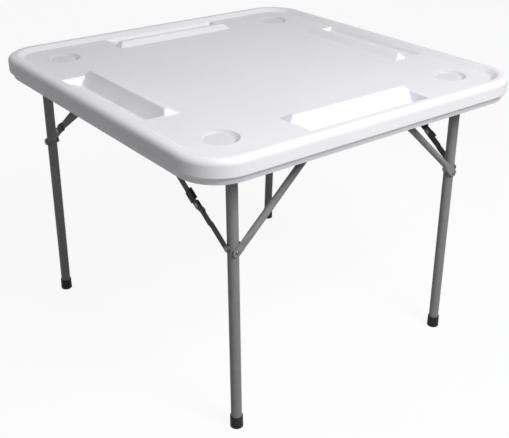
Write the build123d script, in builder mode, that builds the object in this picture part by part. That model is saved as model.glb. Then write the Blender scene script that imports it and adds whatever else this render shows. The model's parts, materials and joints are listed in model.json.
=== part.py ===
from build123d import *

import math
import os

# A square folding game table: a moulded plastic top on two pairs of steel
# legs, each pair a welded frame that folds up under the top.
# Millimetres, Z up, floor at Z 0, origin under the middle of the top.
# The front pair stands on the -Y side and nests inside the wider back pair.
# Each frame is drawn upright and leans about its hinge, feet outward.

# Moulded top
side = 940.0
corner_radius = 100.0
table_height = 710.0
rim_round = 14.0
side_drop = 41.0
side_edge_round = 5.0
lip_drop = 56.0
lip_inset = 4.0
lip_run = 7.0
lip_round = 2.0
rim_crest_inset = 24.0
rim_foot_inset = 40.0
rim_crest_round = 6.0
rim_foot_round = 8.0
surface_drop = 10.0
underside_drop = 40.0
lip_wall = 22.0
recess_radius = 70.0

# Tile racks, one along each side
ridge_crest_inset = 116.5
ridge_crest_width = 9.0
ridge_crest_length = 332.0
ridge_rise = 12.0
ridge_inner_run = 20.0
ridge_end_run = 14.0
ridge_round = 4.0
tray_drop = 31.0
tray_wall_run = 26.0
tray_floor_rise = 14.0
tray_length = 346.0
tray_end_run = 5.0
tray_rim_run = 5.0
tray_round = 4.0

# Cup recesses, one at each corner
cup_inset = 128.0
cup_radius = 42.0
cup_depth = 5.0
cup_wall_run = 10.0
cup_lip_round = 2.0
cup_floor_round = 3.0

# Moulded dimples in the underside, which stiffen the top
dimple_width = 44.0
dimple_depth = 14.0
dimple_slope = 24.0
dimple_pitch = 112.0
dimple_rows = 5

# Leg tubes and crossbars
tube_radius = 12.7
tube_wall = 1.2
back_leg_inset = 89.0
leg_gap = 17.1
hinge_inset = 94.0
hinge_drop = 67.0
leg_lean = 1.5
weld_gap = 0.05
turning_gap = 0.05
crossbar_overhang = 14.0

# Foot caps
cap_height = 30.0
cap_floor = 6.0
cap_radius = 15.4
cap_mouth_radius = 14.9
cap_gap = 0.05
cap_edge = 1.5
cap_excess = 1.5

# Plugs in the open ends of the crossbars
plug_head = 3.0
plug_depth = 12.0
plug_gap = 0.05
plug_edge = 1.2

# Plain braces, round bars with crushed ends riveted to leg and crossbar
brace_radius = 8.0
brace_drop = 183.0
brace_slope = 42.3
tab_width = 20.0
tab_thickness = 3.0
tab_reach = 18.0
crush_length = 34.0
brace_rivet_radius = 2.4
brace_rivet_head_radius = 4.8
brace_rivet_head_height = 1.6
brace_rivet_head_edge = 1.0
brace_rivet_tail = 3.0

# Seats and saddle straps that hold the crossbars
seat_inset = 68.5
seat_width = 36.0
seat_half_depth = 35.0
strap_width = 30.0
strap_thickness = 2.5
strap_half_depth = 33.0
strap_hole_reach = 25.0

# Screws
screw_radius = 2.5
screw_gap = 0.05
screw_clearance = 0.3
screw_head_radius = 4.6
screw_head_height = 2.6
screw_head_edge = 1.0
strap_screw_bite = 14.0
bracket_screw_bite = 9.0

# Folding braces
pivot_drop = 174.0
anchor_drop = 62.0
link_slope = 33.6
link_width = 16.0
link_thickness = 2.5
joggle = 2.0
joggle_start = 61.0
joggle_run = 8.0
side_gap = 0.3
face_gap = 0.1
pass_gap = 0.5
link_tail = 4.0
front_fold = 85.5
back_fold = 90.0

# Lug on each upper link that stops the knuckle when the links are in line
stop_start = 13.0
stop_length = 10.0
stop_height = 8.0
stop_gap = 0.3

# Pivot bolts, spacers, rivets and pins
bolt_radius = 4.0
bolt_gap = 0.1
bolt_head_width = 13.0
bolt_head_height = 5.0
spacer_radius = 6.5
spacer_length = 2.3
rivet_radius = 3.95
rivet_gap = 0.05
rivet_head_radius = 6.5
rivet_head_height = 1.1
end_rivet_head_height = 1.7
rivet_head_edge = 0.6

# Brackets that anchor the folding braces under the top
bracket_thickness = 2.5
bracket_tip_radius = 11.0
bracket_flange = 38.0
bracket_flange_width = 48.0
bracket_bend_radius = 3.0
bracket_screw_inset = 12.0
bracket_screw_reach = 16.0

# Lock sliders
slider_wall = 1.2
slider_edge_wall = 1.5
slider_play = 0.4
slider_park_gap = 1.0
slider_length = 27.0

# One overrun for every cut
overrun = 1.0

# Levels and places that follow from the sizes above
half = side / 2
surface_height = table_height - surface_drop
side_foot = table_height - side_drop
lip_foot = table_height - lip_drop
underside = table_height - underside_drop
tray_floor = table_height - tray_drop
ridge_top = surface_height + ridge_rise
hinge_height = table_height - hinge_drop
hinge_reach = half - hinge_inset
anchor_height = table_height - anchor_drop
lean = math.radians(leg_lean)
pivot_height = hinge_height - pivot_drop * math.cos(lean)
pivot_reach = hinge_reach + pivot_drop * math.sin(lean)
brace_run = brace_drop / math.tan(math.radians(brace_slope))
brace_length = brace_drop / math.sin(math.radians(brace_slope))
back_leg_reach = half - back_leg_inset
front_leg_reach = back_leg_reach - 2 * tube_radius - leg_gap
seat_reach = front_leg_reach - seat_inset
tube_bore = tube_radius - tube_wall
turning_radius = tube_radius + turning_gap
hole_radius = rivet_radius + rivet_gap

# Distances outward from a leg's axis, layer by layer
spacer_end = tube_radius + spacer_length
foot_inner = spacer_end + side_gap
foot_outer = foot_inner + link_thickness
lower_inner = foot_inner + joggle
lower_outer = lower_inner + link_thickness
upper_inner = lower_outer + pass_gap + slider_wall + slider_play
upper_outer = upper_inner + link_thickness
web_outer = upper_inner - side_gap
web_inner = web_outer - bracket_thickness

# Heights on an upright leg
bolt_height = hinge_height - pivot_drop
brace_height = hinge_height - brace_drop

# Folding brace, from the leg's bolt to the pin in the bracket
link_span = (anchor_height - pivot_height) / math.sin(math.radians(link_slope))
anchor_place = pivot_reach - link_span * math.cos(math.radians(link_slope))


def link_lengths(fold):
    """Upper and lower link, which lie in one line both open and folded."""
    turn = math.radians(fold)
    place = hinge_reach - pivot_drop * math.sin(turn)
    height = hinge_height - pivot_drop * math.cos(turn)
    folded_span = math.hypot(place - anchor_place, anchor_height - height)
    return (link_span + folded_span) / 2, (link_span - folded_span) / 2


# Each pair of legs: side along Y, leg's distance from the middle, and the
# folded leg's angle from upright
pairs = {
    "front": (-1, front_leg_reach, front_fold),
    "back": (1, back_leg_reach, back_fold),
}
sides = {"left": -1, "right": 1}
pair_sides = (-1, 1)


def write(piece):
    """Writes one labelled piece."""
    export_step(piece, "parts/" + piece.label + ".step")


def facing(x, y, z, sign_x):
    """Plane across X that faces away from the middle, with its own Y up."""
    return Plane(origin=(x, y, z), x_dir=(0, sign_x, 0), z_dir=(sign_x, 0, 0))


def leaned(plane, sign_y):
    """The same plane on a leg frame that leans about its hinge."""
    hinge = Pos(0, sign_y * hinge_reach, hinge_height)
    return Plane(hinge * Rot(sign_y * leg_lean, 0, 0) * hinge.inverse() * plane.location)


def link_plane(sign_x, sign_y, reach, offset, along):
    """Plane across X at a distance from the leg's axis and along the folding
    brace, with its own X from the leg towards the anchor."""
    slope = math.radians(link_slope)
    run = along * math.cos(slope)
    rise = along * math.sin(slope)
    origin = (sign_x * (reach + offset), sign_y * (pivot_reach - run), pivot_height + rise)
    return Plane(origin=origin, x_dir=(0, -sign_y * math.cos(slope), math.sin(slope)), z_dir=(sign_x, 0, 0))


os.makedirs("parts", exist_ok=True)

# The sunken playing surface, as a cutter
with BuildPart() as surface_cutter:
    with BuildSketch(Plane.XY.offset(surface_height)):
        RectangleRounded(side - 2 * rim_foot_inset, side - 2 * rim_foot_inset, corner_radius - rim_foot_inset)
    mouth_inset = rim_crest_inset - overrun * (rim_foot_inset - rim_crest_inset) / surface_drop
    with BuildSketch(Plane.XY.offset(table_height + overrun)):
        RectangleRounded(side - 2 * mouth_inset, side - 2 * mouth_inset, corner_radius - mouth_inset)
    loft(ruled=True)

# The tray beside the rim on the -Y side, as a cutter: a groove at the foot of
# the ridge, and a floor that climbs from it to the rim
crest_outer = half - ridge_crest_inset + ridge_crest_width / 2
crest_inner = crest_outer - ridge_crest_width
tray_slope = tray_wall_run / (ridge_top - tray_floor)
tray_depth = surface_height - tray_floor
groove = crest_outer + tray_wall_run
floor_outer = half - rim_foot_inset - tray_rim_run
floor_top = tray_floor + tray_floor_rise
mouth_rise = tray_depth + overrun
mouth_inner = groove - tray_slope * mouth_rise
mouth_outer = floor_outer + tray_rim_run * (mouth_rise - tray_floor_rise) / (tray_depth - tray_floor_rise)
mouth_spread = tray_end_run * mouth_rise / tray_depth
with BuildPart() as tray_cutter:
    with BuildSketch(Plane(origin=(0, 0, 0), x_dir=(0, -1, 0), z_dir=(-1, 0, 0))):
        with BuildLine():
            Polyline(
                (groove, tray_floor),
                (floor_outer, floor_top),
                (mouth_outer, tray_floor + mouth_rise),
                (mouth_inner, tray_floor + mouth_rise),
                close=True,
            )
        make_face()
    extrude(amount=tray_length, both=True)
    with BuildSketch(Plane.XY.offset(tray_floor)):
        with Locations((0, -groove)):
            Rectangle(tray_length - 2 * tray_end_run, 2 * tray_length)
    with BuildSketch(Plane.XY.offset(tray_floor + mouth_rise)):
        with Locations((0, -groove)):
            Rectangle(tray_length - 2 * tray_end_run + 2 * mouth_spread, 2 * tray_length)
    loft(ruled=True, mode=Mode.INTERSECT)
    fillet(tray_cutter.edges().group_by(Axis.Z)[0], tray_round)

# The ridge that closes the tray on the -Y side
with BuildPart() as ridge:
    ridge_outer = crest_outer + tray_slope * ridge_rise
    ridge_inner = crest_inner - ridge_inner_run
    with BuildSketch(Plane.XY.offset(surface_height)):
        with Locations((0, -(ridge_inner + ridge_outer) / 2)):
            Rectangle(ridge_crest_length + 2 * ridge_end_run, ridge_outer - ridge_inner)
    with BuildSketch(Plane.XY.offset(ridge_top)):
        with Locations((0, -(crest_inner + crest_outer) / 2)):
            Rectangle(ridge_crest_length, ridge_crest_width)
    loft(ruled=True)
    fillet(ridge.edges().filter_by(lambda edge: edge.center().Z > surface_height), ridge_round)

# Moulded top
with BuildPart() as table_top:
    with BuildSketch(Plane.XY.offset(side_foot)):
        RectangleRounded(side, side, corner_radius)
    extrude(amount=side_drop)
    fillet(table_top.edges().group_by(Axis.Z)[-1], rim_round)
    fillet(table_top.edges().group_by(Axis.Z)[0], side_edge_round)
    foot_inset = lip_inset + lip_run
    with BuildSketch(Plane.XY.offset(lip_foot)):
        RectangleRounded(side - 2 * foot_inset, side - 2 * foot_inset, corner_radius - foot_inset)
    with BuildSketch(Plane.XY.offset(side_foot + side_edge_round)):
        RectangleRounded(side - 2 * lip_inset, side - 2 * lip_inset, corner_radius - lip_inset)
    loft(ruled=True)
    fillet(table_top.edges().group_by(Axis.Z)[0], lip_round)
    add(surface_cutter.part, mode=Mode.SUBTRACT)
    level_faces = table_top.faces().filter_by(Plane.XY)
    rim_face = level_faces.filter_by(lambda face: abs(face.center().Z - table_height) < weld_gap)[0]
    fillet(rim_face.inner_wires()[0].edges(), rim_crest_round)
    level_faces = table_top.faces().filter_by(Plane.XY)
    surface_face = level_faces.filter_by(lambda face: abs(face.center().Z - surface_height) < weld_gap)[0]
    fillet(surface_face.outer_wire().edges(), rim_foot_round)
    # Trays and ridges on the four sides
    for turn in range(4):
        add(tray_cutter.part, rotation=(0, 0, 90 * turn), mode=Mode.SUBTRACT)
        add(ridge.part, rotation=(0, 0, 90 * turn))
    # Cup recesses with sloped walls
    cup_place = half - cup_inset
    for cup_x in (-cup_place, cup_place):
        for cup_y in (-cup_place, cup_place):
            with BuildSketch(Plane.XY.offset(surface_height - cup_depth)):
                with Locations((cup_x, cup_y)):
                    Circle(cup_radius - cup_wall_run)
            with BuildSketch(Plane.XY.offset(surface_height)):
                with Locations((cup_x, cup_y)):
                    Circle(cup_radius)
            loft(ruled=True, mode=Mode.SUBTRACT)
    round_edges = table_top.edges().filter_by(GeomType.CIRCLE)
    fillet(round_edges.filter_by(lambda edge: abs(edge.radius - cup_radius) < weld_gap), cup_lip_round)
    round_edges = table_top.edges().filter_by(GeomType.CIRCLE)
    floor_radius = cup_radius - cup_wall_run
    fillet(round_edges.filter_by(lambda edge: abs(edge.radius - floor_radius) < weld_gap), cup_floor_round)
    # Hollow underside
    with BuildSketch(Plane.XY.offset(lip_foot - overrun)):
        RectangleRounded(side - 2 * lip_wall, side - 2 * lip_wall, recess_radius)
    extrude(amount=underside - lip_foot + overrun, mode=Mode.SUBTRACT)
    # Dimples
    with BuildSketch(Plane.XY.offset(underside)):
        with GridLocations(dimple_pitch, dimple_pitch, dimple_rows, dimple_rows):
            Rectangle(dimple_width, dimple_width)
    extrude(amount=dimple_depth, taper=dimple_slope, mode=Mode.SUBTRACT)
    # Seats that take the upper half of each crossbar
    with BuildSketch(Plane.XY.offset(hinge_height)):
        with GridLocations(2 * seat_reach, 2 * hinge_reach, 2, 2):
            Rectangle(seat_width, 2 * seat_half_depth)
    extrude(amount=underside - hinge_height)
    for sign_y in pair_sides:
        with BuildSketch(facing(-seat_reach - seat_width, sign_y * hinge_reach, hinge_height, 1)):
            Circle(turning_radius)
        extrude(amount=2 * (seat_reach + seat_width), mode=Mode.SUBTRACT)
    # Screw holes in the seats and for the brackets
    with BuildSketch(Plane.XY.offset(hinge_height)):
        for sign_y in pair_sides:
            for reach in (hinge_reach - strap_hole_reach, hinge_reach + strap_hole_reach):
                with Locations((-seat_reach, sign_y * reach), (seat_reach, sign_y * reach)):
                    Circle(screw_radius + screw_gap)
    extrude(amount=strap_screw_bite, mode=Mode.SUBTRACT)
    with BuildSketch(Plane.XY.offset(underside)):
        for sign_y, reach, fold in pairs.values():
            screw_x = reach + web_outer - bracket_flange + bracket_screw_inset
            anchor_y = sign_y * anchor_place
            for screw_y in (anchor_y - bracket_screw_reach, anchor_y + bracket_screw_reach):
                with Locations((-screw_x, screw_y), (screw_x, screw_y)):
                    Circle(screw_radius + screw_gap)
    extrude(amount=bracket_screw_bite, mode=Mode.SUBTRACT)
table_top.part.label = "table_top"
write(table_top.part)

# Saddle straps
for pair, (sign_y, reach, fold) in pairs.items():
    for hand, sign_x in sides.items():
        strap_start = sign_x * (seat_reach - strap_width / 2)
        with BuildPart() as strap:
            with BuildSketch(facing(strap_start, sign_y * hinge_reach, hinge_height, sign_x)):
                Circle(turning_radius + strap_thickness)
                with Locations((0, -strap_thickness / 2)):
                    Rectangle(2 * strap_half_depth, strap_thickness)
                Circle(turning_radius, mode=Mode.SUBTRACT)
                with Locations((0, turning_radius)):
                    Rectangle(2 * strap_half_depth, 2 * turning_radius, mode=Mode.SUBTRACT)
            extrude(amount=strap_width)
            with BuildSketch(Plane.XY.offset(hinge_height)):
                for hole_y in (hinge_reach - strap_hole_reach, hinge_reach + strap_hole_reach):
                    with Locations((sign_x * seat_reach, sign_y * hole_y)):
                        Circle(screw_radius + screw_clearance)
            extrude(amount=-strap_thickness - overrun, mode=Mode.SUBTRACT)
        strap.part.label = pair + "_" + hand + "_hinge_strap"
        write(strap.part)

# Screws of the straps
with BuildPart() as strap_screws:
    with BuildSketch(Plane.XY.offset(hinge_height - strap_thickness)):
        for hole_y in (hinge_reach - strap_hole_reach, hinge_reach + strap_hole_reach):
            with GridLocations(2 * seat_reach, 2 * hole_y, 2, 2):
                Circle(screw_head_radius)
    extrude(amount=-screw_head_height)
    chamfer(strap_screws.edges().group_by(Axis.Z)[0], screw_head_edge)
    with BuildSketch(Plane.XY.offset(hinge_height - strap_thickness)):
        for hole_y in (hinge_reach - strap_hole_reach, hinge_reach + strap_hole_reach):
            with GridLocations(2 * seat_reach, 2 * hole_y, 2, 2):
                Circle(screw_radius)
    extrude(amount=strap_thickness + strap_screw_bite - overrun)
strap_screws.part.label = "hinge_strap_screws"
write(strap_screws.part)

# Brackets that anchor the folding braces
for pair, (sign_y, reach, fold) in pairs.items():
    for hand, sign_x in sides.items():
        web_middle = sign_x * (reach + web_outer - bracket_thickness / 2)
        flange_middle = underside - bracket_thickness / 2
        flange_end = web_middle - sign_x * (bracket_flange - bracket_thickness / 2)
        anchor_y = sign_y * anchor_place
        with BuildPart() as bracket:
            with BuildSketch(Plane(origin=(0, anchor_y, 0), x_dir=(1, 0, 0), z_dir=(0, -1, 0))):
                with BuildLine():
                    FilletPolyline(
                        (flange_end, flange_middle),
                        (web_middle, flange_middle),
                        (web_middle, anchor_height - bracket_tip_radius),
                        radius=bracket_bend_radius,
                    )
                trace(line_width=bracket_thickness)
            extrude(amount=bracket_flange_width / 2, both=True)
            with BuildSketch(facing(sign_x * (reach + web_outer), anchor_y, anchor_height, sign_x)):
                Circle(bracket_tip_radius)
                with Locations((0, underside - anchor_height - bracket_thickness / 2)):
                    Rectangle(bracket_flange_width, bracket_thickness)
                make_hull()
            extrude(amount=-bracket_flange - overrun, mode=Mode.INTERSECT)
            with BuildSketch(facing(sign_x * (reach + web_outer), anchor_y, anchor_height, sign_x)):
                Circle(hole_radius)
            extrude(amount=-bracket_thickness - overrun, mode=Mode.SUBTRACT)
            screw_x = sign_x * (reach + web_outer - bracket_flange + bracket_screw_inset)
            with BuildSketch(Plane.XY.offset(underside)):
                with Locations(
                    (screw_x, anchor_y - bracket_screw_reach),
                    (screw_x, anchor_y + bracket_screw_reach),
                ):
                    Circle(screw_radius + screw_clearance)
            extrude(amount=-bracket_thickness - overrun, mode=Mode.SUBTRACT)
        bracket.part.label = pair + "_" + hand + "_brace_bracket"
        write(bracket.part)

# Screws of the brackets
with BuildPart() as bracket_screws:
    for sign_y, reach, fold in pairs.values():
        screw_x = reach + web_outer - bracket_flange + bracket_screw_inset
        for screw_y in (anchor_place - bracket_screw_reach, anchor_place + bracket_screw_reach):
            spots = [(-screw_x, sign_y * screw_y), (screw_x, sign_y * screw_y)]
            with BuildSketch(Plane.XY.offset(underside - bracket_thickness)):
                with Locations(*spots):
                    Circle(screw_head_radius)
            extrude(amount=-screw_head_height)
    chamfer(bracket_screws.edges().group_by(Axis.Z)[0], screw_head_edge)
    for sign_y, reach, fold in pairs.values():
        screw_x = reach + web_outer - bracket_flange + bracket_screw_inset
        for screw_y in (anchor_place - bracket_screw_reach, anchor_place + bracket_screw_reach):
            spots = [(-screw_x, sign_y * screw_y), (screw_x, sign_y * screw_y)]
            with BuildSketch(Plane.XY.offset(underside - bracket_thickness)):
                with Locations(*spots):
                    Circle(screw_radius)
            extrude(amount=bracket_thickness + bracket_screw_bite - overrun)
bracket_screws.part.label = "brace_bracket_screws"
write(bracket_screws.part)

# Pins that carry the upper links in the brackets
with BuildPart() as anchor_pins:
    for sign_y, reach, fold in pairs.values():
        for sign_x in sides.values():
            anchor_y = sign_y * anchor_place
            with BuildSketch(facing(sign_x * (reach + web_inner), anchor_y, anchor_height, sign_x)):
                Circle(rivet_head_radius)
            extrude(amount=-rivet_head_height)
            with BuildSketch(facing(sign_x * (reach + web_inner), anchor_y, anchor_height, sign_x)):
                Circle(rivet_radius)
            extrude(amount=upper_outer + face_gap - web_inner)
            head_x = sign_x * (reach + upper_outer + face_gap)
            with BuildSketch(facing(head_x, anchor_y, anchor_height, sign_x)):
                Circle(rivet_head_radius)
            extrude(amount=rivet_head_height)
anchor_pins.part.label = "brace_anchor_pins"
write(anchor_pins.part)

# Leg frames
for pair, (sign_y, reach, fold) in pairs.items():
    leg_y = sign_y * hinge_reach
    outward = (0, sign_y, 0)
    bar_reach = reach + crossbar_overhang
    brace_top = reach - brace_run

    # Crossbar that the pair turns on
    with BuildPart() as crossbar:
        with BuildSketch(facing(-bar_reach, leg_y, hinge_height, 1)):
            Circle(tube_radius)
            Circle(tube_bore, mode=Mode.SUBTRACT)
        extrude(amount=2 * bar_reach)
        hole_plane = Plane(origin=(0, leg_y, hinge_height), x_dir=(1, 0, 0), z_dir=outward)
        with BuildSketch(leaned(hole_plane, sign_y)):
            with Locations((-brace_top, 0), (brace_top, 0)):
                Circle(brace_rivet_radius + rivet_gap)
        extrude(amount=tube_radius + overrun, mode=Mode.SUBTRACT)
    crossbar.part.label = pair + "_crossbar"
    write(crossbar.part)

    # Plugs in its ends
    with BuildPart() as plugs:
        for sign_x in sides.values():
            with BuildSketch(facing(sign_x * bar_reach, leg_y, hinge_height, sign_x)):
                Circle(tube_radius)
            extrude(amount=plug_head)
        head_edges = plugs.edges().filter_by(lambda edge: abs(edge.center().X) > bar_reach + plug_head / 2)
        chamfer(head_edges, plug_edge)
        for sign_x in sides.values():
            with BuildSketch(facing(sign_x * bar_reach, leg_y, hinge_height, sign_x)):
                Circle(tube_bore - plug_gap)
            extrude(amount=-plug_depth)
    plugs.part.label = pair + "_crossbar_plugs"
    write(plugs.part)

    # Rivets through the crushed ends of the plain braces
    head_place = tube_radius + weld_gap + tab_thickness
    rivet_spots = []
    for sign_x in sides.values():
        rivet_spots.append((sign_x * reach, brace_height))
        rivet_spots.append((sign_x * brace_top, hinge_height))
    head_y = leg_y + sign_y * head_place
    head_plane = leaned(Plane(origin=(0, head_y, 0), x_dir=(1, 0, 0), z_dir=(0, -1, 0)), sign_y)
    head_axis = Axis(head_plane.origin, head_plane.z_dir * -sign_y)
    with BuildPart() as brace_rivets:
        with BuildSketch(head_plane):
            with Locations(*rivet_spots):
                Circle(brace_rivet_head_radius)
        extrude(amount=-sign_y * brace_rivet_head_height)
        chamfer(brace_rivets.edges().group_by(head_axis)[-1], brace_rivet_head_edge)
        with BuildSketch(head_plane):
            with Locations(*rivet_spots):
                Circle(brace_rivet_radius)
        extrude(amount=sign_y * (tab_thickness + weld_gap + tube_wall + brace_rivet_tail))
    brace_rivets.part.label = pair + "_brace_rivets"
    write(brace_rivets.part)

    # Pivot bolts of the folding braces, with their spacers
    with BuildPart() as bolts:
        for sign_x in sides.values():
            bolt_plane = leaned(facing(sign_x * (reach - tube_radius), leg_y, bolt_height, sign_x), sign_y)
            with BuildSketch(bolt_plane):
                RegularPolygon(bolt_head_width / 2, 6, major_radius=False)
            extrude(amount=-bolt_head_height)
            with BuildSketch(bolt_plane):
                Circle(bolt_radius)
            extrude(amount=tube_radius + spacer_end)
    bolts.part.label = pair + "_pivot_bolts"
    write(bolts.part)

    with BuildPart() as spacers:
        for sign_x in sides.values():
            spacer_plane = facing(sign_x * (reach + tube_radius), leg_y, bolt_height, sign_x)
            with BuildSketch(leaned(spacer_plane, sign_y)):
                Circle(spacer_radius)
                Circle(bolt_radius + bolt_gap, mode=Mode.SUBTRACT)
            extrude(amount=spacer_length)
    spacers.part.label = pair + "_pivot_spacers"
    write(spacers.part)

    for hand, sign_x in sides.items():
        corner = pair + "_" + hand
        leg_x = sign_x * reach

        # Leg tube, coped round the crossbar
        with BuildPart() as leg:
            with BuildSketch(leaned(Plane.XY.offset(cap_floor), sign_y)):
                with Locations((leg_x, leg_y)):
                    Circle(tube_radius)
                    Circle(tube_bore, mode=Mode.SUBTRACT)
            extrude(amount=hinge_height - cap_floor)
            with BuildSketch(facing(leg_x, leg_y, hinge_height, sign_x)):
                Circle(tube_radius + weld_gap)
            extrude(amount=tube_radius + overrun, both=True, mode=Mode.SUBTRACT)
            with BuildSketch(leaned(facing(leg_x, leg_y, bolt_height, sign_x), sign_y)):
                Circle(bolt_radius + bolt_gap)
            extrude(amount=tube_radius + overrun, both=True, mode=Mode.SUBTRACT)
            with BuildSketch(leaned(Plane(origin=(leg_x, leg_y, brace_height), z_dir=outward), sign_y)):
                Circle(brace_rivet_radius + rivet_gap)
            extrude(amount=tube_radius + overrun, mode=Mode.SUBTRACT)
        leg.part.label = corner + "_leg"
        write(leg.part)

        # Foot cap, its sole cut level with the floor
        with BuildPart() as cap:
            with BuildSketch(leaned(Plane.XY.offset(-cap_excess), sign_y)):
                with Locations((leg_x, leg_y)):
                    Circle(cap_radius)
            with BuildSketch(leaned(Plane.XY.offset(cap_height), sign_y)):
                with Locations((leg_x, leg_y)):
                    Circle(cap_mouth_radius)
            loft(ruled=True)
            split(bisect_by=Plane.XY)
            chamfer(cap.edges().group_by(Axis.Z)[0], cap_edge)
            with BuildSketch(leaned(Plane.XY.offset(cap_floor), sign_y)):
                with Locations((leg_x, leg_y)):
                    Circle(tube_radius + cap_gap)
            extrude(amount=cap_height - cap_floor + overrun, mode=Mode.SUBTRACT)
        cap.part.label = corner + "_foot_cap"
        write(cap.part)

        # Plain brace, drawn in sections square to its slope, flat at both ends
        slope = math.radians(brace_slope)
        rise = Vector(-sign_x * math.cos(slope), 0, math.sin(slope))
        tab_middle = tube_radius + weld_gap + tab_thickness / 2
        foot = Vector(leg_x, leg_y + sign_y * tab_middle, brace_height)
        round_start = tab_reach + crush_length
        with BuildPart() as brace:
            for end, way in ((foot, rise), (foot + rise * brace_length, rise * -1)):
                with BuildSketch(leaned(Plane(origin=end, x_dir=way, z_dir=outward), sign_y)):
                    Circle(tab_width / 2)
                    with Locations((tab_reach / 2, 0)):
                        Rectangle(tab_reach, tab_width)
                    Circle(brace_rivet_radius + rivet_gap, mode=Mode.SUBTRACT)
                extrude(amount=tab_thickness / 2, both=True)
                flat_plane = Plane(origin=end + way * tab_reach, x_dir=outward, z_dir=way)
                with BuildSketch(leaned(flat_plane, sign_y)):
                    RectangleRounded(tab_thickness, tab_width, tab_thickness / 2 - weld_gap)
                round_plane = Plane(origin=end + way * round_start, x_dir=outward, z_dir=way)
                with BuildSketch(leaned(round_plane, sign_y)):
                    RectangleRounded(2 * brace_radius, 2 * brace_radius, brace_radius - weld_gap)
                loft(ruled=True)
            bar_plane = Plane(origin=foot + rise * round_start, x_dir=outward, z_dir=rise)
            with BuildSketch(leaned(bar_plane, sign_y)):
                Circle(brace_radius)
            extrude(amount=brace_length - 2 * round_start)
        brace.part.label = corner + "_plain_brace"
        write(brace.part)

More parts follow.
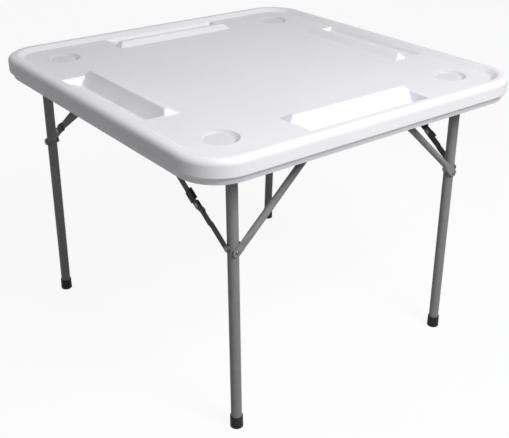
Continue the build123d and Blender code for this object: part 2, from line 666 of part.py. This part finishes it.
# Folding braces
for pair, (sign_y, reach, fold) in pairs.items():
    upper_length, lower_length = link_lengths(fold)
    for hand, sign_x in sides.items():
        corner = pair + "_" + hand

        # Upper link, from the knuckle to the anchor, with its stop lug bent
        # over the top edge of the lower link
        up = -sign_x * sign_y
        lug_place = -stop_start - stop_length / 2
        lug_edge = link_width / 2 + stop_gap
        with BuildPart() as upper_link:
            with BuildSketch(link_plane(sign_x, sign_y, reach, upper_inner, lower_length)):
                Circle(link_width / 2)
                with Locations((lug_place, up * (lug_edge + link_thickness - stop_height / 2))):
                    Rectangle(stop_length, stop_height)
                make_hull()
                with Locations((upper_length / 2, 0)):
                    SlotCenterToCenter(upper_length, link_width)
                with Locations((0, 0), (upper_length, 0)):
                    Circle(hole_radius, mode=Mode.SUBTRACT)
            extrude(amount=link_thickness)
            with BuildSketch(link_plane(sign_x, sign_y, reach, lower_inner, lower_length)):
                with Locations((lug_place, up * (lug_edge + link_thickness / 2))):
                    Rectangle(stop_length, link_thickness)
            extrude(amount=upper_inner - lower_inner)
        upper_link.part.label = corner + "_upper_link"
        write(upper_link.part)

        # Lower link, joggled towards the leg, with a tail past the knuckle
        side_plane = link_plane(sign_x, sign_y, reach, 0, 0)
        edge_plane = Plane(origin=side_plane.origin, x_dir=side_plane.x_dir, z_dir=side_plane.y_dir * -1)
        foot_middle = foot_inner + link_thickness / 2
        lower_middle = lower_inner + link_thickness / 2
        with BuildPart() as lower_link:
            with BuildSketch(edge_plane):
                with BuildLine():
                    Polyline(
                        (-link_width, foot_middle),
                        (joggle_start, foot_middle),
                        (joggle_start + joggle_run, lower_middle),
                        (lower_length + 2 * link_width, lower_middle),
                    )
                trace(line_width=link_thickness)
            extrude(amount=link_width, both=True)
            with BuildSketch(side_plane):
                with Locations(((lower_length + link_tail) / 2, 0)):
                    SlotCenterToCenter(lower_length + link_tail, link_width)
                with Locations((0, 0), (lower_length, 0)):
                    Circle(hole_radius, mode=Mode.SUBTRACT)
            extrude(amount=upper_outer, mode=Mode.INTERSECT)
        lower_link.part.label = corner + "_lower_link"
        write(lower_link.part)

        # Rivet head that closes the lower link's end over the leg's bolt
        with BuildPart() as end_rivet:
            with BuildSketch(link_plane(sign_x, sign_y, reach, foot_inner, 0)):
                Circle(rivet_radius)
            extrude(amount=link_thickness)
            with BuildSketch(link_plane(sign_x, sign_y, reach, foot_outer, 0)):
                Circle(rivet_head_radius)
            extrude(amount=end_rivet_head_height)
            head_edges = end_rivet.edges().filter_by(GeomType.CIRCLE).sort_by(Axis.X)
            chamfer(head_edges[-1 if sign_x > 0 else 0], rivet_head_edge)
        end_rivet.part.label = corner + "_end_rivet"
        write(end_rivet.part)

        # Knuckle rivet, and the washer between the links
        with BuildPart() as knuckle_rivet:
            with BuildSketch(link_plane(sign_x, sign_y, reach, lower_inner - face_gap, lower_length)):
                Circle(rivet_head_radius)
            extrude(amount=-rivet_head_height)
            with BuildSketch(link_plane(sign_x, sign_y, reach, lower_inner - face_gap, lower_length)):
                Circle(rivet_radius)
            extrude(amount=upper_outer - lower_inner + face_gap)
            with BuildSketch(link_plane(sign_x, sign_y, reach, upper_outer, lower_length)):
                Circle(rivet_head_radius)
            extrude(amount=rivet_head_height)
            ends = knuckle_rivet.edges().filter_by(GeomType.CIRCLE).sort_by(Axis.X)
            chamfer([ends[0], ends[-1]], rivet_head_edge)
        knuckle_rivet.part.label = corner + "_knuckle_rivet"
        write(knuckle_rivet.part)

        with BuildPart() as washer:
            with BuildSketch(link_plane(sign_x, sign_y, reach, lower_outer + face_gap, lower_length)):
                Circle(spacer_radius)
                Circle(hole_radius, mode=Mode.SUBTRACT)
            extrude(amount=upper_inner - lower_outer - face_gap)
        washer.part.label = corner + "_knuckle_washer"
        write(washer.part)

        # Lock slider: a sleeve round the upper link, with a lip on the side
        # that the lower link's tail turns out of
        sleeve_start = lower_length + link_tail + link_width / 2 + slider_park_gap
        sleeve_origin = link_plane(sign_x, sign_y, reach, 0, sleeve_start).origin
        sleeve_plane = Plane(origin=sleeve_origin, x_dir=(sign_x, 0, 0), z_dir=side_plane.x_dir)
        opening_low = upper_inner - slider_play
        opening_high = upper_outer + slider_play
        opening_middle = (opening_low + opening_high) / 2
        opening_half = link_width / 2 + slider_play
        sleeve_outer = opening_high + slider_wall
        lip_place = -up * (opening_half + slider_edge_wall / 2)
        with BuildPart() as slider:
            with BuildSketch(sleeve_plane):
                with Locations((opening_middle, 0)):
                    Rectangle(
                        opening_high - opening_low + 2 * slider_wall,
                        2 * (opening_half + slider_edge_wall),
                    )
                with Locations(((lower_inner + sleeve_outer) / 2, lip_place)):
                    Rectangle(sleeve_outer - lower_inner, slider_edge_wall)
                with Locations((opening_middle, 0)):
                    Rectangle(opening_high - opening_low, 2 * opening_half, mode=Mode.SUBTRACT)
            extrude(amount=slider_length)
        slider.part.label = corner + "_lock_slider"
        write(slider.part)
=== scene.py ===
import json
import math

import bmesh
import bpy
from mathutils import Matrix, Vector


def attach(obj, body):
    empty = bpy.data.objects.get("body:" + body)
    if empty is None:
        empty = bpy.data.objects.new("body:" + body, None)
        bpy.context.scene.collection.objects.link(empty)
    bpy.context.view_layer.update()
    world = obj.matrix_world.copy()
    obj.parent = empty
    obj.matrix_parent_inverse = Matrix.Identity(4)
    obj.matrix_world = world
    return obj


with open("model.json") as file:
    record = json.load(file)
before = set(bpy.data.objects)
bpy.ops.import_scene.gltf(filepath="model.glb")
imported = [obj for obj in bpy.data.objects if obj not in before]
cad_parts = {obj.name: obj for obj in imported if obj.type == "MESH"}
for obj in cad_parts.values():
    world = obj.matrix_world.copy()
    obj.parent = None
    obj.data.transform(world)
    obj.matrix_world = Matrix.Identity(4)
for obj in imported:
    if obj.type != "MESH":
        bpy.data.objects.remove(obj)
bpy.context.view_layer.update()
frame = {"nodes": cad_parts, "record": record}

# A square folding game table, dressed for the camera of the photograph.
# Metres, Z up, floor at Z 0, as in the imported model. Angles are in degrees.
nodes = frame["nodes"]

# Camera, fitted to the table's outline, feet and braces
image_width = 509
camera_azimuth = -38.066
camera_elevation = 27.268
camera_roll = 0.583
camera_distance = 2.22037
camera_target = Vector((0.00206, -0.01697, 0.27786))
focal_pixels = 817.87
sensor_width = 36.0


def make_camera():
    """The photograph's view, as a camera."""
    azimuth = math.radians(camera_azimuth)
    elevation = math.radians(camera_elevation)
    roll = math.radians(camera_roll)
    back = Vector((
        math.sin(azimuth) * math.cos(elevation),
        -math.cos(azimuth) * math.cos(elevation),
        math.sin(elevation),
    ))
    level_right = Vector((math.cos(azimuth), math.sin(azimuth), 0))
    level_up = back.cross(level_right)
    right = math.cos(roll) * level_right + math.sin(roll) * level_up
    up = -math.sin(roll) * level_right + math.cos(roll) * level_up
    data = bpy.data.cameras.new("photo_camera")
    data.sensor_width = sensor_width
    data.lens = focal_pixels * sensor_width / image_width
    camera = bpy.data.objects.new("photo_camera", data)
    rotation = Matrix((right, up, back)).transposed().to_4x4()
    place = Matrix.Translation(camera_target + back * camera_distance)
    camera.matrix_world = place @ rotation
    bpy.context.scene.collection.objects.link(camera)
    bpy.context.scene.camera = camera


# A Mix node has sockets for each kind of value; these are the colours'
mix_first = 6
mix_second = 7
mix_result = 2
opaque = 1.0


class Graph:
    """A material's nodes, with short calls to add and join them."""

    def __init__(self, name):
        self.material = bpy.data.materials.new(name)
        self.material.use_nodes = True
        self.tree = self.material.node_tree
        self.shader = self.tree.nodes["Principled BSDF"]
        self.place = self.add("ShaderNodeTexCoord").outputs["Object"]

    def add(self, kind, **settings):
        """Adds one node with its settings."""
        node = self.tree.nodes.new(kind)
        for key, value in settings.items():
            setattr(node, key, value)
        return node

    def join(self, source, target):
        """Links an output to an input."""
        self.tree.links.new(source, target)

    def noise(self, scale, detail, roughness):
        """A noise value over the object's own place, scale in cycles a metre."""
        node = self.add("ShaderNodeTexNoise")
        node.inputs["Scale"].default_value = scale
        node.inputs["Detail"].default_value = detail
        node.inputs["Roughness"].default_value = roughness
        self.join(self.place, node.inputs["Vector"])
        return node.outputs["Fac"]

    def math(self, operation, first, second=None):
        """One sum over two values, each a number or a socket."""
        node = self.add("ShaderNodeMath", operation=operation)
        for source, socket in ((first, node.inputs[0]), (second, node.inputs[1])):
            if isinstance(source, float):
                socket.default_value = source
            elif source is not None:
                self.join(source, socket)
        return node.outputs[0]

    def span(self, value, low, high, out_low, out_high):
        """A value stretched from one range to another and clamped."""
        node = self.add("ShaderNodeMapRange")
        node.inputs["From Min"].default_value = low
        node.inputs["From Max"].default_value = high
        node.inputs["To Min"].default_value = out_low
        node.inputs["To Max"].default_value = out_high
        self.join(value, node.inputs["Value"])
        return node.outputs["Result"]

    def patches(self, noise, band, out=(0.0, 1.0)):
        """A noise of which one band of values is stretched over a range."""
        return self.span(self.noise(*noise), *band, *out)

    def blend(self, amount, first, second):
        """A colour between two, each a colour or a socket."""
        node = self.add("ShaderNodeMix", data_type="RGBA")
        self.join(amount, node.inputs["Factor"])
        for source, index in ((first, mix_first), (second, mix_second)):
            if isinstance(source, tuple):
                node.inputs[index].default_value = (*source, opaque)
            else:
                self.join(source, node.inputs[index])
        return node.outputs[mix_result]

    def bump(self, noise, height, below=None):
        """Relief from a noise, its height in metres, laid over another if given."""
        node = self.add("ShaderNodeBump")
        node.inputs["Strength"].default_value = 1.0
        node.inputs["Distance"].default_value = height
        self.join(self.noise(*noise), node.inputs["Height"])
        if below is not None:
            self.join(below, node.inputs["Normal"])
        return node.outputs["Normal"]

    def finish(self, colour, roughness, normal, **uniform):
        """Joins what varies and sets what doesn't on the shader's own sockets."""
        self.join(colour, self.shader.inputs["Base Color"])
        self.join(roughness, self.shader.inputs["Roughness"])
        self.join(normal, self.shader.inputs["Normal"])
        for socket, value in uniform.items():
            self.shader.inputs[socket.replace("_", " ")].default_value = value
        return self.material


# Values of the materials. A noise is (cycles a metre, detail, roughness).
# A band is the part of a noise's values over which a patch fades in, and a
# share is how much of the patch then shows. A height is a relief's, in metres.
wide_band = (0.3, 0.7)
refraction = 1.5

plastic_cool = (0.800, 0.796, 0.836)
plastic_warm = (0.826, 0.822, 0.856)
plastic_mark = (0.740, 0.740, 0.760)
plastic_roughness = (0.54, 0.68)
cloud_noise = (5.0, 3.0, 0.6)
cloud_band = (0.35, 0.65)
mark_noise = (90.0, 4.0, 0.6)
mark_band = (0.62, 0.80)
mark_share = (0.0, 0.30)
plastic_gloss_noise = (24.0, 4.0, 0.6)
pebble_noise = (380.0, 1.0, 0.4)
pebble_height = 0.00020
grain_noise = (900.0, 2.0, 0.5)
grain_height = 0.00006
swell_noise = (14.0, 1.0, 0.4)
swell_height = 0.0005

paint_dark = (0.222, 0.222, 0.224)
paint_light = (0.252, 0.251, 0.251)
paint_flake = (0.350, 0.350, 0.352)
paint_rubbed = (0.170, 0.169, 0.168)
paint_roughness = (0.32, 0.46)
paint_specular = 0.08
paint_noise = (60.0, 3.0, 0.5)
flake_noise = (1400.0, 2.0, 0.5)
flake_band = (0.58, 0.74)
flake_share = (0.0, 0.6)
rubbed_noise = (26.0, 5.0, 0.7)
rubbed_band = (0.60, 0.78)
rubbed_share = (0.0, 0.35)
paint_gloss_noise = (200.0, 3.0, 0.5)
peel_noise = (620.0, 2.0, 0.5)
peel_height = 0.00012
# The folding links' coat is darkened by this share: painted shade for the shadow they lie in
# under the top
link_painted_shade = 0.36

black = (0.024, 0.024, 0.025)
black_worn = (0.050, 0.050, 0.051)
black_roughness = (0.46, 0.62)
black_specular = 0.12
worn_noise = (120.0, 5.0, 0.65)
worn_band = (0.5, 0.75)
black_gloss_noise = (300.0, 3.0, 0.5)
black_grain_noise = (1500.0, 2.0, 0.5)
black_grain_height = 0.00006

zinc_dark = (0.11, 0.11, 0.113)
zinc_light = (0.18, 0.18, 0.18)
zinc_roughness = (0.34, 0.52)
plating_noise = (160.0, 4.0, 0.6)
zinc_gloss_noise = (420.0, 4.0, 0.6)
zinc_grain_noise = (1100.0, 2.0, 0.5)
zinc_grain_height = 0.00004

# Cup recesses, where the plastic is greyed with painted shade, deeper on their walls.
# Their axes stand cup_place from both middle lines of the top. The painted shade
# fades out over their outer edge, and a fade under cup_level keeps it off the underside.
cup_place = 0.342
cup_radius = 0.043
cup_wall_radius = 0.040
cup_floor_radius = 0.032
cup_level = 0.694
cup_fade = 0.004
cup_painted_shade = (0.710, 0.710, 0.730)
cup_wall_painted_shade = (0.640, 0.640, 0.660)
cup_noise = (38.0, 3.0, 0.6)
cup_share = (0.6, 1.0)


def cup_shade_masks(graph):
    """Two masks from the object's place for painted shade: the cup recesses, and their walls.
    """
    parts = graph.add("ShaderNodeSeparateXYZ")
    graph.join(graph.place, parts.inputs[0])
    flat = graph.add("ShaderNodeCombineXYZ")
    for index, socket in enumerate(("X", "Y")):
        reach = graph.math("ABSOLUTE", parts.outputs[socket])
        graph.join(graph.math("SUBTRACT", reach, cup_place), flat.inputs[index])
    length = graph.add("ShaderNodeVectorMath", operation="LENGTH")
    graph.join(flat.outputs[0], length.inputs[0])
    radius = length.outputs["Value"]
    inside = graph.span(radius, cup_wall_radius, cup_radius, 1.0, 0.0)
    beyond_floor = graph.span(radius, cup_floor_radius, cup_wall_radius, 0.0, 1.0)
    above = graph.span(parts.outputs["Z"], cup_level - cup_fade, cup_level, 0.0, 1.0)
    cup = graph.math("MULTIPLY", inside, above)
    return cup, graph.math("MULTIPLY", cup, beyond_floor)


def moulded_plastic():
    """White polyethylene with a pebbled mould grain, faint marks of use, and painted shade
    greying its cup recesses.
    """
    graph = Graph("moulded_plastic")
    base = graph.blend(graph.patches(cloud_noise, cloud_band), plastic_cool, plastic_warm)
    marked = graph.blend(graph.patches(mark_noise, mark_band, mark_share), base, plastic_mark)
    cup, wall = cup_shade_masks(graph)
    # Painted shade in the cup recesses, patchy, and deeper still on their walls
    painted_cup_shade = graph.math("MULTIPLY", cup, graph.patches(cup_noise, wide_band, cup_share))
    greyed = graph.blend(painted_cup_shade, marked, cup_painted_shade)
    colour = graph.blend(wall, greyed, cup_wall_painted_shade)
    gloss = graph.patches(plastic_gloss_noise, wide_band, plastic_roughness)
    pebble = graph.bump(pebble_noise, pebble_height)
    grain = graph.bump(grain_noise, grain_height, pebble)
    swell = graph.bump(swell_noise, swell_height, grain)
    return graph.finish(colour, gloss, swell, IOR=refraction)


def powder_coat(name, shade=1.0):
    """Satin grey powder coat with fine flake and the orange peel of a baked paint; a shade
    under one darkens its colours as painted shade.
    """
    dark, light, flake, rubbed = (
        tuple(shade * part for part in colour)
        for colour in (paint_dark, paint_light, paint_flake, paint_rubbed)
    )
    graph = Graph(name)
    base = graph.blend(graph.patches(paint_noise, wide_band), dark, light)
    flaked = graph.blend(graph.patches(flake_noise, flake_band, flake_share), base, flake)
    rub = graph.patches(rubbed_noise, rubbed_band, rubbed_share)
    colour = graph.blend(rub, flaked, rubbed)
    gloss = graph.patches(paint_gloss_noise, wide_band, paint_roughness)
    peel = graph.bump(peel_noise, peel_height)
    return graph.finish(colour, gloss, peel, IOR=refraction, Specular_IOR_Level=paint_specular)


def black_plastic():
    """Matt black moulded plastic, a little greyed where it rubs."""
    graph = Graph("black_plastic")
    colour = graph.blend(graph.patches(worn_noise, worn_band), black, black_worn)
    gloss = graph.patches(black_gloss_noise, wide_band, black_roughness)
    grain = graph.bump(black_grain_noise, black_grain_height)
    return graph.finish(colour, gloss, grain, IOR=refraction, Specular_IOR_Level=black_specular)


def zinc_steel():
    """Dull zinc plate, with the cloudy patches that plating has."""
    graph = Graph("zinc_steel")
    colour = graph.blend(graph.patches(plating_noise, wide_band), zinc_dark, zinc_light)
    gloss = graph.patches(zinc_gloss_noise, wide_band, zinc_roughness)
    grain = graph.bump(zinc_grain_noise, zinc_grain_height)
    return graph.finish(colour, gloss, grain, Metallic=1.0)


materials = {
    "moulded_plastic": moulded_plastic(),
    "grey_powder_coat": powder_coat("powder_coat"),
    "black_plastic": black_plastic(),
    "zinc_steel": zinc_steel(),
}
# A darker copy of the coat for the folding links: painted shade
painted_shade_link_coat = powder_coat("painted_shade_powder_coat", link_painted_shade)


def dress_nodes():
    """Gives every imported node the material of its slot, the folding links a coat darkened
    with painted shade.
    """
    for row in frame["record"]["subparts"]:
        name = row["node"]
        coat = painted_shade_link_coat if name.endswith("_link") else materials[row["material_slot"]]
        piece = nodes[name]
        piece.data.materials.clear()
        piece.data.materials.append(coat)


# Welds between the leg tubes and their crossbars, which are one size of tube.
# A bead has a radius that ripples along it and sways round it.
tube_radius = 0.0127
hinge_reach = 0.376
hinge_height = 0.643
leg_lean = math.radians(1.5)
leg_reaches = {"front": 0.3385, "back": 0.381}
bead_radius = 0.0027
bead_ripple = 0.00040
bead_ripples = 38
bead_sway = 0.5
bead_sways = 3
bead_soft_turn = 0.0018
bead_steps = 228
bead_sides = 10


def bead_point(turn):
    """A point on the saddle where two equal tubes meet, about the leg's axis."""
    across = tube_radius * math.cos(turn)
    drop = math.hypot(across, bead_soft_turn) - bead_soft_turn
    return Vector((across, tube_radius * math.sin(turn), -drop))


def bead_ring(turn, leg_x):
    """The points of a bead's section at one turn about the leg."""
    small = math.tau / bead_steps
    along = (bead_point(turn + small) - bead_point(turn - small)).normalized()
    outward = Vector((math.cos(turn), math.sin(turn), 0))
    outward = (outward - along * along.dot(outward)).normalized()
    beside = along.cross(outward)
    wave = abs(math.sin(bead_ripples * turn / 2))
    sway = bead_sway * math.sin(bead_sways * turn + leg_x)
    radius = bead_radius + bead_ripple * (wave + sway)
    ring = []
    for side in range(bead_sides):
        angle = math.tau * side / bead_sides
        spoke = math.cos(angle) * outward + math.sin(angle) * beside
        ring.append(bead_point(turn) + radius * spoke)
    return ring


def weld_bead(name, body, leg_x, sign_y):
    """A rippled weld round the head of one leg, riding on its leg frame."""
    mesh = bmesh.new()
    rings = []
    for step in range(bead_steps):
        points = bead_ring(math.tau * step / bead_steps, leg_x)
        rings.append([mesh.verts.new(point) for point in points])
    for step, ring in enumerate(rings):
        after = rings[(step + 1) % bead_steps]
        for side in range(bead_sides):
            beyond = (side + 1) % bead_sides
            mesh.faces.new((ring[side], after[side], after[beyond], ring[beyond]))
    bmesh.ops.recalc_face_normals(mesh, faces=mesh.faces)
    place = Matrix.Translation((leg_x, sign_y * hinge_reach, hinge_height))
    mesh.transform(place @ Matrix.Rotation(sign_y * leg_lean, 4, "X"))
    data = bpy.data.meshes.new(name)
    mesh.to_mesh(data)
    mesh.free()
    data.shade_smooth()
    data.materials.append(materials["grey_powder_coat"])
    bead = bpy.data.objects.new(name, data)
    bpy.context.scene.collection.objects.link(bead)
    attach(bead, body)


def weld_legs():
    """One bead at the head of each leg."""
    for pair, sign_y in (("front", -1), ("back", 1)):
        for hand, sign_x in (("left", -1), ("right", 1)):
            name = f"{pair}_{hand}_leg_weld"
            weld_bead(name, f"{pair}_leg_frame", sign_x * leg_reaches[pair], sign_y)


# Room: a pale floor and world that the camera sees as white, and one soft lamp
floor_size = 40.0
floor_colour = (0.50, 0.50, 0.50)
floor_seen_colour = (0.92, 0.92, 0.92)
floor_white = 0.92
floor_roughness = 0.9
world_strength = 0.24
world_seen_strength = 1.0
world_colour = (1.0, 1.0, 1.0)
lamp_place = Vector((0.1, -2.1, 2.55))
lamp_aim = Vector((0.0, -0.1, 0.6))
lamp_size = 1.3
lamp_power = 73.0


def seen_directly(tree):
    """A value of one for rays from the camera, mirrors and glass."""
    path = tree.nodes.new("ShaderNodeLightPath")
    seen = path.outputs["Is Camera Ray"]
    for kind in ("Is Glossy Ray", "Is Transmission Ray"):
        either = tree.nodes.new("ShaderNodeMath")
        either.operation = "MAXIMUM"
        tree.links.new(seen, either.inputs[0])
        tree.links.new(path.outputs[kind], either.inputs[1])
        seen = either.outputs[0]
    return seen


def make_floor():
    """A floor that is nearly white to the camera and keeps a faint shadow."""
    bpy.ops.mesh.primitive_plane_add(size=floor_size)
    floor = bpy.context.active_object
    floor.name = "studio_floor"
    graph = Graph("studio_floor")
    seen = seen_directly(graph.tree)
    colour = graph.blend(seen, floor_colour, floor_seen_colour)
    graph.join(colour, graph.shader.inputs["Base Color"])
    graph.shader.inputs["Roughness"].default_value = floor_roughness
    graph.shader.inputs["Specular IOR Level"].default_value = 0.0
    glow = graph.add("ShaderNodeEmission")
    mixed = graph.add("ShaderNodeMixShader")
    graph.join(graph.span(seen, 0.0, 1.0, 0.0, floor_white), mixed.inputs[0])
    graph.join(graph.shader.outputs[0], mixed.inputs[1])
    graph.join(glow.outputs[0], mixed.inputs[2])
    graph.join(mixed.outputs[0], graph.tree.nodes["Material Output"].inputs["Surface"])
    floor.data.materials.append(graph.material)


def make_world():
    """A dim even world that the camera sees as white."""
    world = bpy.data.worlds.new("studio")
    world.use_nodes = True
    bpy.context.scene.world = world
    tree = world.node_tree
    tree.nodes.clear()
    strength = tree.nodes.new("ShaderNodeMapRange")
    strength.inputs["To Min"].default_value = world_strength
    strength.inputs["To Max"].default_value = world_seen_strength
    background = tree.nodes.new("ShaderNodeBackground")
    background.inputs["Color"].default_value = (*world_colour, opaque)
    output = tree.nodes.new("ShaderNodeOutputWorld")
    tree.links.new(seen_directly(tree), strength.inputs["Value"])
    tree.links.new(strength.outputs["Result"], background.inputs["Strength"])
    tree.links.new(background.outputs[0], output.inputs["Surface"])


def make_lamp():
    """One soft square lamp above and in front of the table."""
    data = bpy.data.lights.new("lamp", "AREA")
    data.shape = "SQUARE"
    data.size = lamp_size
    data.energy = lamp_power
    lamp = bpy.data.objects.new("lamp", data)
    lamp.location = lamp_place
    lamp.rotation_euler = (lamp_aim - lamp_place).to_track_quat("-Z", "Y").to_euler()
    bpy.context.scene.collection.objects.link(lamp)


make_camera()
make_floor()
make_world()
make_lamp()
dress_nodes()
weld_legs()

bpy.context.scene.view_settings.view_transform = "Standard"
